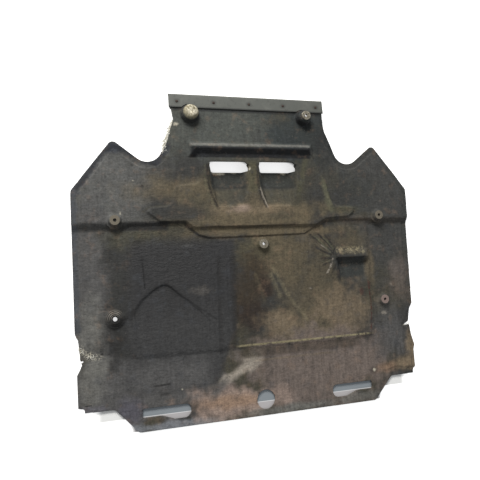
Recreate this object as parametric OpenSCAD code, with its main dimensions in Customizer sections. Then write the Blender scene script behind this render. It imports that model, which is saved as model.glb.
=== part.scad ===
/* [Panel] */
// Width across the two long sides
panel_w = 948; // [900:2:1000]
// Length from the front edge to the rear nose of the strip
panel_l = 860; // [820:2:900]
// Length of the rear part, from the datum line of the pressed forms to the rear nose
rear_l = 430; // [420:2:450]
// Thickness of the moulded sheet
sheet_t = 5; // [4:0.5:6]
// Width of the front edge between its corners
front_w = 658; // [600:2:700]
// Distance between the inner ends of the two front ears
ear_w = 770; // [730:2:800]
// Height of the cut that leaves the ears, above the front edge
ear_h = 62; // [50:1:75]
// Width across the two wing peaks
peak_w = 742; // [700:2:760]
// Width of the neck
neck_w = 438; // [420:2:450]
// Radius of the notch between a wing and the neck
notch_r = 40; // [30:1:45]
// Width of the pressed border along the sides and wings
rim_w = 18; // [12:1:24]
// Depth of the pressed border below the field
rim_step = 2.5; // [1:0.5:3]

/* [Pressed relief] */
// Height of the step that crosses the panel
step_h = 11; // [8:1:14]
// Place of the foot of that step, from the middle of the panel
step_y = 69; // [64:1:72]
// Height of the inner field above the front flange
field_h = 4.5; // [3:0.5:6]
// Width of the inner field
field_w = 690; // [670:2:700]
// Height of the plateau round the scoops
plateau_h = 5; // [3:0.5:6]
// Height of the apron below the plateau
apron_h = 3; // [2:0.5:4]
// Height of the cross bead behind the windows
bead_h = 17; // [12:1:20]
// Length of the cross bead
bead_l = 346; // [320:2:350]
// Depth of the hollow in the left of the field
hollow_d = 3.5; // [2:0.5:5]
// Depth of the shallow flutes
flute_d = 1; // [0.5:0.25:1.5]

/* [Scoops and pocket] */
// Distance between the middles of the two scoops
scoop_pitch = 138; // [134:1:142]
// Width of a scoop at its window
scoop_w = 114; // [106:1:118]
// Width of a scoop at its foot
scoop_foot_w = 74; // [64:1:84]
// Place of the foot of the scoops
scoop_y = 118; // [112:1:124]
// Length of a scoop from its foot to its lip
scoop_l = 104; // [98:1:106]
// Opening between the lip and the edge beyond it
window_l = 23; // [18:1:24]
// Width of the pocket on the right
pocket_w = 100; // [90:1:104]
// Length of the pocket
pocket_l = 74; // [66:1:80]
// Depth of the pocket at its lip
pocket_d = 10; // [7:1:11]

/* [Fixing points] */
// Radius of the tall dome on the left of the neck
dome_left_r = 25; // [23:0.5:26]
// Radius of the tall dome on the right of the neck
dome_right_r = 22; // [20:0.5:24]
// Height of both domes
dome_h = 28; // [24:1:30]
// Radius of the low bosses at their foot
boss_r = 18; // [17:0.5:21]
// Height of the low bosses
boss_h = 10; // [8:1:13]
// Radius of the stepped boss at its foot
ring_r = 23; // [21:0.5:25]
// Bore of the steel eyelets
bore_d = 8.4; // [8.2:0.1:9]
// Outer diameter of an eyelet's barrel
barrel_d = 11; // [10.6:0.2:12]
// Diameter of an eyelet's flange
flange_d = 25; // [23:1:26]
// Thickness of an eyelet's flange
flange_t = 1.2; // [1:0.1:1.5]
// Diameter of the bare hole that has lost its eyelet
bare_d = 11; // [9:0.5:13]

/* [Front openings] */
// Length of a front slot
slot_l = 122; // [114:1:130]
// Height of a front slot at its outer end
slot_h = 22; // [18:1:26]
// How far the inner end of a slot reaches below its outer end
slot_bulge = 12; // [8:1:13]
// Diameter of the round hole
port_d = 50; // [44:1:54]
// Diameter of the worn pinhole at the end of the left crack
pinhole_d = 4; // [3:0.5:6]
// Radius of the small pip in front of the right ear
pip_r = 4; // [3:0.5:5]

/* [Rear strip] */
// Length of the strip
strip_l = 444; // [430:2:450]
// Width of the strip
strip_w = 38; // [34:1:42]
// Thickness of the strip
strip_t = 3; // [2.5:0.5:4]
// Distance between the rivets
rivet_pitch = 100; // [96:1:103]
// Diameter of a rivet's head
rivet_head_d = 7.5; // [6.5:0.5:9]
// Diameter of a rivet's shank
rivet_d = 4; // [3:0.5:4.5]

/* [Hidden] */
// Clearance round a barrel or a shank, on the diameter
fit = 0.6;

// Heights of the engine side above the floor that the panel lies on
z_front = sheet_t;
z_step = z_front + 9;
z_rear = z_step + step_h;
z_crown = z_rear + 5;
z_tail = z_crown - 8;
y_front = rear_l - panel_l;
y_rear = rear_l;
y_flange = y_front + 185;
step_run = 21;
y_step_top = step_y + step_run;
y_crown = 215;
y_neck = y_rear - 130;
neck_fall = (z_crown - z_tail) / (y_rear - y_neck);
neck_tilt = atan(neck_fall);
// Depth that the solid under the engine side reaches down to
z_deep = -60;
z_high = 120;

// Driving lines of the outline
y_ear = y_front + ear_h;
y_outer = 170;
peak_y = 302;
notch_x = 266;
notch_y = 219;
neck_bend_y = y_rear - 80;
nose_t = 3;
panel_y_rear = y_rear - nose_t;

// Places of the fixing points
dome_y = y_rear - 55;
dome_left_x = -neck_w / 2 + 52;
dome_right_x = neck_w / 2 - 62;
boss_upper_x = panel_w / 2 - 103;
boss_upper_y = step_y + 25;
boss_lower_x = panel_w / 2 - 96;
boss_lower_y = y_flange + 96;
boss_mid = [17, step_y - 46];
port_x = 3;
port_y = y_front + 41;
slot_outer_x = front_w / 2 - 9;
slot_top_y = y_front + 56;
pip_x = slot_outer_x + 9;
pip_y = y_front + 83;
pinhole = [-panel_w / 2 + 63, y_flange + 12];
rivet_y = y_rear - 21;

// Place of the pocket
pocket_x = 284;
pocket_y = -25;

function clamp01(u) = max(0, min(1, u));
function ease(u) = let (v = clamp01(u)) v * v * (3 - 2 * v);
function unit(v) = v / norm(v);

// Height of the plain sheet along the panel, before any pad or hollow is pressed in it
function base_z(y) =
    y > y_neck ? z_crown - (y - y_neck) * neck_fall
    : z_front + (z_step - z_front) * clamp01((y - y_flange) / (step_y - y_flange))
      + step_h * ease((y - step_y) / step_run)
      + (z_crown - z_rear) * clamp01((y - y_step_top) / (y_crown - y_step_top));

// Height of the inner field, which the cross step rises out of
function field_z(y) = z_front + field_h
    + (z_step - z_front) * clamp01((y - y_flange) / (step_y - y_flange));

// Points of a corner b between a and c, rounded with radius r
function arc_points(b, u, v, r) =
    let (half = acos(u * v) / 2,
         centre = b + unit(u + v) * r / sin(half),
         p0 = b + u * r / tan(half) - centre,
         p1 = b + v * r / tan(half) - centre,
         a0 = atan2(p0.y, p0.x),
         turn = atan2(p0.x * p1.y - p0.y * p1.x, p0 * p1),
         n = max(2, ceil(abs(turn) * sqrt(r) / 70)))
    [for (i = [0:n]) centre + r * [cos(a0 + turn * i / n), sin(a0 + turn * i / n)]];

// Closed outline with a radius at each corner, given as [x, y, radius]
function rounded(p) =
    let (n = len(p))
    [for (i = [0:n - 1])
        let (b = [p[i].x, p[i].y],
             a = [p[(i + n - 1) % n].x, p[(i + n - 1) % n].y],
             c = [p[(i + 1) % n].x, p[(i + 1) % n].y],
             r = p[i].z)
        each (r <= 0 ? [b] : arc_points(b, unit(a - b), unit(c - b), r))];

// Points given from a corner of the panel
function from_point(corner, points) = [for (p = points) corner + p];

// The right half of an outline and its mirror image
function both_sides(half) = concat(half, [for (i = [len(half) - 1:-1:0]) [-half[i].x, half[i].y, half[i].z]]);

// Outline moved inwards by d along its corners; the outline runs anticlockwise
function inset(p, d) =
    let (n = len(p))
    [for (i = [0:n - 1])
        let (u = unit(p[i] - p[(i + n - 1) % n]),
             v = unit(p[(i + 1) % n] - p[i]),
             m = [-u.y, u.x] + [-v.y, v.x])
        p[i] + m * d / max(0.5, (m * m) / 2)];

// Solid between two outlines with as many points, each on a plane z = a + b * y
module loft(low, high, low_z, high_z) {
    n = len(low);
    points = concat([for (p = low) [p.x, p.y, low_z[0] + low_z[1] * p.y]],
                    [for (p = high) [p.x, p.y, high_z[0] + high_z[1] * p.y]]);
    sides = [for (i = [0:n - 1], k = [0, 1])
        k == 0 ? [i, (i + 1) % n, n + i] : [(i + 1) % n, n + (i + 1) % n, n + i]];
    polyhedron(points, concat([[for (i = [0:n - 1]) i]], [for (f = sides) [f[2], f[1], f[0]]],
                              [[for (i = [n - 1:-1:0]) n + i]]));
}

// Raised pad of height h: its foot follows the outline and its top lies on the plane top.
// The drafted wall runs on below the foot by root, so that it ends inside the sheet under it.
module pad(outline, top, h, draft, root) {
    loft(inset(outline, -draft * root), inset(outline, draft * h), [top[0] - h - root, top[1]], top);
}

// Outline of the sheet as it left the mould
function sheet_half() = [
    [front_w / 2, y_front, 12],
    [ear_w / 2, y_ear, 14],
    [panel_w / 2, y_ear, 4],
    [panel_w / 2, y_outer, 16],
    [peak_w / 2, peak_y, 13],
    [notch_x, notch_y, notch_r],
    [neck_w / 2, neck_bend_y, 60],
    [neck_w / 2, panel_y_rear, 3]
];
sheet_outline = rounded(both_sides(sheet_half()));

// Ragged edges where the sheet is torn: each is cut away from the outline
right_side_tear = from_point([panel_w / 2, y_front], [
    [10, 312], [1, 265], [-9, 249], [-16, 213], [-39, 200],
    [-13, 203], [-9, 172], [-1, 143], [-5, 131], [-5, 80],
    [-13, 75], [-15, 58], [10, 58]
]);
left_side_tear = from_point([-panel_w / 2, y_front], [
    [-10, 280], [3, 242], [7, 236], [11, 181], [15, 177], [9, 164],
    [2, 152], [3, 74], [17, 71], [18, 58], [-10, 58]
]);
neck_tear = from_point([-neck_w / 2, y_rear], [
    [-5, -38], [3, -42], [7, -69], [4, -81], [-2, -97],
    [-7, -111], [-10, -124], [-17, -142], [-27, -160], [-43, -140]
]);
side_crack = from_point([-panel_w / 2, y_front], [[8, 179], [36, 190], [62, 196.5], [36, 192], [8, 183]]);

module sheet_2d() {
    difference() {
        polygon(sheet_outline);
        polygon(right_side_tear);
        polygon(left_side_tear);
        polygon(neck_tear);
        polygon(side_crack);
        translate(pinhole) circle(d = pinhole_d, $fn = 10);
    }
}

// Field inside the pressed border; the border fades out at the front and along the neck
module field_2d() {
    offset(delta = -rim_w) polygon(sheet_outline);
    translate([-panel_w / 2 + rim_w * 2, y_front - 1]) square([panel_w - rim_w * 4, ear_h + rim_w * 2]);
    translate([-neck_w / 2 - 1, y_neck - 10]) square([neck_w + 2, y_rear - y_neck + 10]);
}

// Solid under the plain sheet: one profile along the panel, drawn out to both sides
module base_form() {
    flat_ys = [y_front - 5, y_flange];
    slope_ys = [step_y, for (i = [1:4]) step_y + step_run * i / 5, y_step_top, y_crown, y_neck, y_rear + 5];
    top = [for (y = concat(flat_ys, slope_ys)) [y, base_z(y)]];
    rotate([90, 0, 90])
        translate([0, 0, -panel_w / 2 - 10])
            linear_extrude(panel_w + 20)
                polygon(concat([[y_front - 5, z_deep]], [[y_rear + 5, z_deep]],
                               [for (i = [len(top) - 1:-1:0]) top[i]]));
}

// Inner field, raised above the border, with a draft at its sides and its front
module field_pad() {
    half = field_w / 2;
    slope = (z_step - z_front) / (step_y - y_flange);
    top_a = z_front + field_h - slope * y_flange;
    outline = rounded([[-half, y_flange - 10, 22], [half, y_flange - 10, 22],
                       [half, y_step_top + 10, 20], [-half, y_step_top + 10, 20]]);
    pad(outline, [top_a, slope], field_h, 3, 3);
}

// Plateau round the scoops and the apron that it stands on
module plateau_pad() {
    slope = (z_crown - z_rear) / (y_crown - y_step_top);
    top_a = z_rear + plateau_h - slope * y_step_top;
    outline = rounded([
        [-258, y_step_top - 4, 6], [-192, y_step_top - 4, 14], [-174, step_y, 12], [176, step_y, 14],
        [206, y_step_top - 4, 18], [276, y_step_top, 10], [298, 106, 6], [297, 121, 6],
        [241, 124, 14], [226, 142, 14], [214, 190, 20], [172, 268, 6],
        [-158, 268, 6], [-152, 190, 14], [-217, 182, 8], [-230, 132, 14],
        [-276, 127, 8], [-297, 115, 5]
    ]);
    pad(outline, [top_a, slope], plateau_h, 0.9, 9);
}

module apron_pad() {
    slope = (z_step - z_front) / (step_y - y_flange);
    top_a = z_front + field_h + apron_h - slope * y_flange;
    outline = rounded([
        [-196, 100, 2], [-190, 84, 10], [-160, 50, 18], [-124, 42, 30], [140, 46, 24],
        [166, 60, 16], [194, 84, 14], [200, 100, 2]
    ]);
    pad(outline, [top_a, slope], apron_h, 1, 2);
}

// Cross bead behind the windows: a gentle rear slope and a steep front face
module bead() {
    half = bead_l / 2;
    hull() {
        translate([-half - 8, y_neck - 45, z_crown - 4]) cube([bead_l + 16, 48, 2]);
        for (s = [-1, 1])
            translate([s * (half - 14), y_neck - 20, z_crown + bead_h - 4]) sphere(r = 4, $fn = 16);
    }
}

// Hollow of one scoop: the floor falls from the foot to the lip in two slopes
module scoop_hollow() {
    wall = 15;
    rim = z_crown + plateau_h + 6;
    foot_half = scoop_foot_w / 2;
    lip_half = scoop_w / 2 - wall;
    bend_y = scoop_y + scoop_l * 0.66;
    end_y = scoop_y + scoop_l + window_l - 10;
    r = 6;
    hull() {
        for (s = [-1, 1]) {
            translate([s * (foot_half - r), scoop_y + 12, z_crown + r - 2]) sphere(r = r, $fn = 12);
            translate([s * (lip_half - r), bend_y, z_front + 4 + r]) sphere(r = r, $fn = 12);
            translate([s * (lip_half - r), end_y, z_front + r]) sphere(r = r, $fn = 12);
            translate([s * (foot_half - 2), scoop_y, rim]) cylinder(r = 4, h = 1, $fn = 12);
            translate([s * (scoop_w / 2 - 1), bend_y, rim]) cylinder(r = 4, h = 1, $fn = 12);
            translate([s * (scoop_w / 2 - 1), end_y, rim]) cylinder(r = 4, h = 1, $fn = 12);
        }
    }
}

// Opening between a scoop's lip and the sheet beyond it
module window_cut() {
    half = scoop_w / 2 - 3;
    lip_y = scoop_y + scoop_l;
    translate([0, 0, z_deep])
        linear_extrude(z_high - z_deep)
            polygon(rounded([[-half + 7, lip_y, 1], [half, lip_y, 1],
                             [half - 2, lip_y + window_l * 0.6, 8], [half - 9, lip_y + window_l, 4],
                             [-half, lip_y + window_l, 1]]));
}

// Pocket on the right: deepest at its lip, with a drafted floor and a wide right wall
module pocket_hollow() {
    half = pocket_w / 2;
    top = field_z(pocket_y) + 4;
    floor_z = field_z(pocket_y) - pocket_d;
    r = 4;
    hull() {
        for (s = [-1, 1]) {
            translate([s * (half - 10), pocket_y - 12, floor_z + r]) sphere(r = r, $fn = 12);
            translate([s * (half - 14), pocket_y - pocket_l, top - 2]) sphere(r = r, $fn = 12);
        }
        translate([-half, pocket_y + 1, top + 8]) cylinder(r = 1, h = 1, $fn = 8);
        translate([half + 16, pocket_y - 4, top + 4]) cylinder(r = 3, h = 1, $fn = 12);
        translate([half + 8, pocket_y - pocket_l, top + 4]) cylinder(r = 3, h = 1, $fn = 12);
        translate([-half + 12, pocket_y - pocket_l, top + 4]) cylinder(r = 3, h = 1, $fn = 12);
    }
}

// Raised lip behind the pocket, which catches the light
module pocket_lip() {
    half = pocket_w / 2;
    top = field_z(pocket_y) + 9;
    hull() {
        translate([-half - 4, pocket_y - 2, z_deep]) cube([pocket_w + 6, 34, 1]);
        translate([-half - 4, pocket_y - 2, field_z(pocket_y) - 2]) cube([pocket_w + 6, 32, 1]);
        translate([-half + 3, pocket_y + 4, top - 3]) sphere(r = 3, $fn = 8);
        translate([half - 5, pocket_y + 4, top - 3]) sphere(r = 3, $fn = 8);
        translate([-half + 5, pocket_y + 16, top - 4]) sphere(r = 3, $fn = 8);
        translate([half - 8, pocket_y + 16, top - 4]) sphere(r = 3, $fn = 8);
    }
}

// Puckers in the sheet, fanned out from the pocket's left corner
pucker_ends = [[-72, 61], [-56, 72], [-41, 66], [-26, 60], [-43, 20], [-46, 3], [-44, -16]];
module puckers() {
    root = [pocket_x - pocket_w / 2 - 7, pocket_y + 2];
    for (p = pucker_ends) {
        near = root + unit(p) * 9;
        far = root + p;
        hull() {
            translate([near.x, near.y, field_z(near.y) + 1.6]) sphere(r = 3.2, $fn = 8);
            translate([far.x, far.y, field_z(far.y) + 2]) sphere(r = 2.4, $fn = 8);
        }
    }
}

// Hollow in the left of the field, deepest below its peaked rear edge
module left_hollow() {
    slope = (z_step - z_front) / (step_y - y_flange);
    fade_y = y_flange + 15;
    front = fade_y - 10;
    deep_y = y_flange + 170;
    top_a = z_front + field_h - slope * y_flange;
    fall = hollow_d / (deep_y - fade_y);
    side = -field_w / 2;
    outline = rounded([
        [side + 19, front, 3], [side + 222, front, 3], [side + 211, y_flange + 75, 30],
        [side + 178, y_flange + 108, 40], [side + 131, y_flange + 147, 40], [side + 97, y_flange + 179, 26],
        [side + 69, y_flange + 167, 30], [side + 33, y_flange + 139, 40], [side + 11, y_flange + 107, 20]
    ]);
    loft(inset(outline, hollow_d * 1.2), inset(outline, -2),
         [top_a + fall * fade_y, slope - fall], [top_a + 2, slope]);
}

// Shallow flutes that run down the middle of the field
module flutes() {
    for (x = [-108, -82, -57])
        hull() {
            translate([x, -24, field_z(-24) + 14 - flute_d]) sphere(r = 14, $fn = 16);
            translate([x - 5, y_flange + 17, field_z(y_flange + 17) + 14 - flute_d]) sphere(r = 14, $fn = 16);
        }
}

// Short crease above the hollow
module short_crease() {
    far = y_flange + 229;
    near = y_flange + 165;
    hull() {
        translate([-field_w / 2 + 40, far, field_z(far) + 1.4]) sphere(r = 2.4, $fn = 8);
        translate([-field_w / 2 + 44, near, field_z(near) + 1]) sphere(r = 2.4, $fn = 8);
    }
}

// Boss turned about its own axis, with a rounded foot and a flat top
module boss(x, y, foot_z, skin) {
    top_r = flange_d / 2 + 0.8 - skin * 0.5;
    foot_r = boss_r - skin * 0.7;
    translate([x, y, foot_z])
        rotate_extrude($fn = 24)
            polygon([[0, -30], [foot_r + 4, -30], [foot_r + 4, 0], [foot_r, 1.2], [foot_r - 1.6, 3.5],
                     [top_r + 1, boss_h - 1.5], [top_r, boss_h - 0.3], [top_r - 0.8, boss_h], [0, boss_h]]);
}

// Stepped boss of the bare hole: its rings are pressed in the sheet
module stepped_boss(x, y, foot_z, skin) {
    foot_r = ring_r - skin * 0.7;
    translate([x, y, foot_z])
        rotate_extrude($fn = 24)
            polygon([[0, -30], [foot_r + 3, -30], [foot_r + 3, 0], [foot_r + 1, 0.8], [foot_r - 1, 3],
                     [foot_r - 4.5, 3.8], [foot_r - 6, 6], [foot_r - 9, 6.8], [foot_r - 10.5, boss_h - 1],
                     [foot_r - 11.5, boss_h - 0.6], [0, boss_h - 0.6]]);
}

// Tall dome with a small flat crown
module dome(x, foot_r, skin) {
    r = foot_r - skin;
    flat_r = flange_d / 2 - 3 - skin * 0.3;
    n = 5;
    translate([x, dome_y, base_z(dome_y)])
        rotate_extrude($fn = 28)
            polygon(concat([[0, -30], [r + 2.5, -30], [r + 2.5, -1], [r + 0.6, 1.5]],
                           [for (i = [1:n]) let (a = 90 * i / (n + 1))
                               [flat_r + (r - flat_r) * cos(a), dome_h * sin(a)]],
                           [[flat_r, dome_h], [0, dome_h]]));
}

// Everything under one face of the sheet; skin is how far the walls are drawn in
module press_form(skin) {
    difference() {
        union() {
            base_form();
            field_pad();
            plateau_pad();
            apron_pad();
            bead();
            translate([pocket_x, 0, 0]) pocket_lip();
        }
        for (s = [-1, 1]) translate([s * scoop_pitch / 2, 0, 0]) scoop_hollow();
        translate([pocket_x, 0, 0]) pocket_hollow();
        puckers();
        left_hollow();
        flutes();
        short_crease();
    }
    dome(dome_left_x, dome_left_r, skin);
    dome(dome_right_x, dome_right_r, skin);
    for (s = [-1, 1]) boss(s * boss_upper_x, boss_upper_y, base_z(boss_upper_y), skin);
    boss(boss_lower_x, boss_lower_y, base_z(boss_lower_y), skin);
    stepped_boss(-boss_lower_x, boss_lower_y, base_z(boss_lower_y), skin);
    boss(boss_mid.x, boss_mid.y, field_z(boss_mid.y), skin);
}

// Outline of the left front slot, wider at its inner end
module slot_2d() {
    inner_x = slot_outer_x - slot_l;
    low_y = slot_top_y - slot_h;
    polygon(rounded([
        [-slot_outer_x, slot_top_y, 4], [-slot_outer_x, low_y, 5], [-slot_outer_x + slot_l * 0.4, low_y, 20],
        [-slot_outer_x + slot_l * 0.66, low_y - slot_bulge, 16], [-inner_x, low_y - slot_bulge, 18],
        [-inner_x, slot_top_y, 13]
    ]));
}

module through(h_from, h_to, d, fn) {
    translate([0, 0, h_from]) cylinder(d = d, h = h_to - h_from, $fn = fn);
}

module panel_holes() {
    for (s = [-1, 1]) translate([s * scoop_pitch / 2, 0, 0]) window_cut();
    translate([0, 0, z_deep]) linear_extrude(z_high - z_deep) slot_2d();
    mirror([1, 0, 0]) translate([0, 0, z_deep]) linear_extrude(z_high - z_deep) slot_2d();
    translate([port_x, port_y, 0]) through(z_deep, z_high, port_d, 40);
    for (p = eyelet_places) translate([p.x, p.y, 0]) through(z_deep, z_high, barrel_d, 20);
    translate([-boss_lower_x, boss_lower_y, 0]) through(z_deep, z_high, bare_d, 20);
    for (i = [1:5]) on_neck(rivet_x(i), rivet_y) through(-20, 20, rivet_d + fit, 12);
}

// Centre and height of each eyelet's seat: rear right, upper left, centre, upper right, lower right
eyelet_places = [
    [dome_right_x, dome_y, base_z(dome_y) + dome_h],
    [-boss_upper_x, boss_upper_y, base_z(boss_upper_y) + boss_h],
    [boss_mid.x, boss_mid.y, field_z(boss_mid.y) + boss_h],
    [boss_upper_x, boss_upper_y, base_z(boss_upper_y) + boss_h],
    [boss_lower_x, boss_lower_y, base_z(boss_lower_y) + boss_h]
];
function rivet_x(i) = (i - 3) * rivet_pitch;

// Frame on the neck's upper face, with z square to it
module on_neck(x, y) {
    translate([x, y, base_z(y)]) rotate([-neck_tilt, 0, 0]) children();
}

// The moulded sheet
module panel() {
    color([0.24, 0.22, 0.19])
        difference() {
            intersection() {
                union() {
                    intersection() {
                        press_form(0);
                        translate([0, 0, z_deep - 1]) linear_extrude(z_high - z_deep) field_2d();
                    }
                    translate([0, 0, -rim_step]) press_form(0);
                    translate([pip_x, pip_y, z_front - pip_r * 0.55]) sphere(r = pip_r, $fn = 12);
                }
                translate([0, 0, z_deep + 1]) linear_extrude(z_high - z_deep) sheet_2d();
            }
            translate([0, 0, -sheet_t]) press_form(3);
            panel_holes();
            // Clogged dimple in the crown that has lost its eyelet
            translate([dome_left_x, dome_y, base_z(dome_y) + dome_h + 8]) sphere(r = 10, $fn = 16);
        }
}

// Strip riveted along the rear edge, with a nose that covers the sheet's cut edge
module seal_strip() {
    drop = sheet_t + 1;
    color([0.42, 0.41, 0.38])
        difference() {
            translate([0, y_rear, base_z(y_rear)])
                rotate([-neck_tilt, 0, 0])
                    rotate([90, 0, 90])
                        translate([0, 0, -strip_l / 2])
                            linear_extrude(strip_l)
                                polygon([[-strip_w, 0], [-nose_t + 0.3, 0], [-nose_t + 0.3, -drop],
                                         [-0.6, -drop], [0, -drop + 0.6], [0, strip_t - 1.4],
                                         [-1.4, strip_t], [-strip_w + 1, strip_t], [-strip_w, strip_t - 1]]);
            translate([dome_left_x, dome_y, 0]) cylinder(r = dome_left_r + 3, h = z_high, $fn = 64);
            translate([dome_right_x, dome_y, 0]) cylinder(r = dome_right_r + 3, h = z_high, $fn = 64);
            for (i = [1:5]) on_neck(rivet_x(i), rivet_y) through(-10, 10, rivet_d + fit / 2, 24);
        }
}

// Steel eyelet: a flange on the boss, a barrel through it and a rolled edge behind
module eyelet(i) {
    p = eyelet_places[i];
    barrel = sheet_t + 1.6;
    color([0.5, 0.48, 0.45])
        translate(p)
            rotate_extrude($fn = 64)
                polygon([
                    [bore_d / 2, -barrel], [bore_d / 2, flange_t - 0.3], [bore_d / 2 + 0.3, flange_t],
                    [flange_d / 2 - 0.5, flange_t], [flange_d / 2, flange_t - 0.4], [flange_d / 2, 0],
                    [(barrel_d - fit) / 2, 0], [(barrel_d - fit) / 2, -barrel]
                ]);
}

// Rivet through the strip and the sheet, with a domed head and an upset tail
module strip_rivet(i) {
    head_h = 1.6;
    tail_h = 1.2;
    grip = strip_t + sheet_t;
    color([0.2, 0.15, 0.12])
        on_neck(rivet_x(i), rivet_y)
            rotate_extrude($fn = 32)
                polygon([
                    [0, -sheet_t - tail_h], [rivet_head_d / 2 - 0.8, -sheet_t - tail_h],
                    [rivet_head_d / 2 - 0.3, -sheet_t], [rivet_d / 2, -sheet_t], [rivet_d / 2, strip_t],
                    [rivet_head_d / 2, strip_t], [rivet_head_d / 2 - 0.6, strip_t + head_h * 0.6],
                    [rivet_head_d / 4, strip_t + head_h], [0, strip_t + head_h]
                ]);
}

module eyelet_rear_right() { eyelet(0); }
module eyelet_upper_left() { eyelet(1); }
module eyelet_centre() { eyelet(2); }
module eyelet_upper_right() { eyelet(3); }
module eyelet_lower_right() { eyelet(4); }

panel();
seal_strip();
eyelet_rear_right();
eyelet_upper_left();
eyelet_centre();
eyelet_upper_right();
eyelet_lower_right();
strip_rivet(1);  // strip_rivet_1
strip_rivet(2);  // strip_rivet_2
strip_rivet(3);  // strip_rivet_3
strip_rivet(4);  // strip_rivet_4
strip_rivet(5);  // strip_rivet_5
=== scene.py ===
import math
import random

import bpy
from mathutils import Matrix, Vector, noise


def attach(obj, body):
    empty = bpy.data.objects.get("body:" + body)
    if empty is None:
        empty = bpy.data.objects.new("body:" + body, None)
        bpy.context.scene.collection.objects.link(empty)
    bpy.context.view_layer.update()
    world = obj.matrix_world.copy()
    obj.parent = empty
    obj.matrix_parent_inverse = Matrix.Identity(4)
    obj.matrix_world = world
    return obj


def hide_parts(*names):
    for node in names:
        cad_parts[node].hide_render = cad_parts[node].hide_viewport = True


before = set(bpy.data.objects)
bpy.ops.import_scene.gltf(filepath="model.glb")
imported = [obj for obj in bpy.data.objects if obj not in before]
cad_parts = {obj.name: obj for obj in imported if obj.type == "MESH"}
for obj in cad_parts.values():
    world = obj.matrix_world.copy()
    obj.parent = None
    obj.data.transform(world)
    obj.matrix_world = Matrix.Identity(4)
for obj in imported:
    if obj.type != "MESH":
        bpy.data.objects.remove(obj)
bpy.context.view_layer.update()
print("stage: packed model loaded")

# Places are in the model's own frame, in metres: x to the right, y to the rear strip, z up to the engine side
camera = {
    "place": (-0.4272, -0.0887, 1.2941),
    "target": (-0.0474, 0.0357, 0.020),
    "roll": 3.52,
    "lens": 37.5,
    "sensor": 36.0,
}

lights = {
    "world": 0.30,
    "key": {"place": (-0.9, 2.3, 1.75), "size": (1.8, 1.0), "power": 108.0, "colour": (1.0, 0.985, 0.96)},
    "fill": {"place": (1.5, -1.6, 1.9), "size": (1.6, 1.6), "power": 9.0, "colour": (0.93, 0.96, 1.0)},
}

# The floor is painted with blue-grey shade under the front slots and port, and glows as painted light under the windows
# and holes
floor = {
    "size": 9.0,
    "drop": 0.0006,
    "colour": (246, 246, 244),
    "shaded": (140, 147, 152),
    "halfShaded": (186, 183, 184),
    "glow": 0.7,
    "lightSpots": [(-66, 236, 66, 24), (72, 236, 66, 24), (-377, -150, 12, 12), (26, 25, 12, 12)],
}


# A tone as read on a screen, 0 to 255, made linear
def linear(red, green, blue):
    out = []
    for level in (red, green, blue):
        c = level / 255
        out.append(c / 12.92 if c <= 0.04045 else ((c + 0.055) / 1.055) ** 2.4)
    return (*out, 1.0)


def deselectAll():
    if bpy.context.object and bpy.context.object.mode != "OBJECT":
        bpy.ops.object.mode_set(mode="OBJECT")
    bpy.ops.object.select_all(action="DESELECT")


def makeActive(piece):
    deselectAll()
    piece.select_set(True)
    bpy.context.view_layer.objects.active = piece


def applyAll(piece):
    makeActive(piece)
    for modifier in list(piece.modifiers):
        bpy.ops.object.modifier_apply(modifier=modifier.name)


# One output of a node; sums and products of it add Math nodes
class Wire:
    def __init__(self, graph, socket):
        self.graph = graph
        self.socket = socket

    def math(self, operation, *others, clamp=False):
        values = {0: self}
        values.update({i + 1: other for i, other in enumerate(others)})
        return self.graph.node("ShaderNodeMath", {"operation": operation, "use_clamp": clamp}, values)

    def __add__(self, other):
        return self.math("ADD", other)

    def __sub__(self, other):
        return self.math("SUBTRACT", other)

    def __mul__(self, other):
        return self.math("MULTIPLY", other)

    def __truediv__(self, other):
        return self.math("DIVIDE", other)

    def __rsub__(self, other):
        return self.graph.node("ShaderNodeMath", {"operation": "SUBTRACT"}, {0: other, 1: self})

    def __neg__(self):
        return self * -1.0

    __radd__ = __add__
    __rmul__ = __mul__

    def low(self, other):
        return self.math("MINIMUM", other)

    def high(self, other):
        return self.math("MAXIMUM", other)

    def power(self, other):
        return self.math("POWER", other)

    def size(self):
        return self.math("ABSOLUTE")

    def root(self):
        return self.math("SQRT")

    def clamp(self):
        return self.math("ADD", 0.0, clamp=True)


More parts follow.
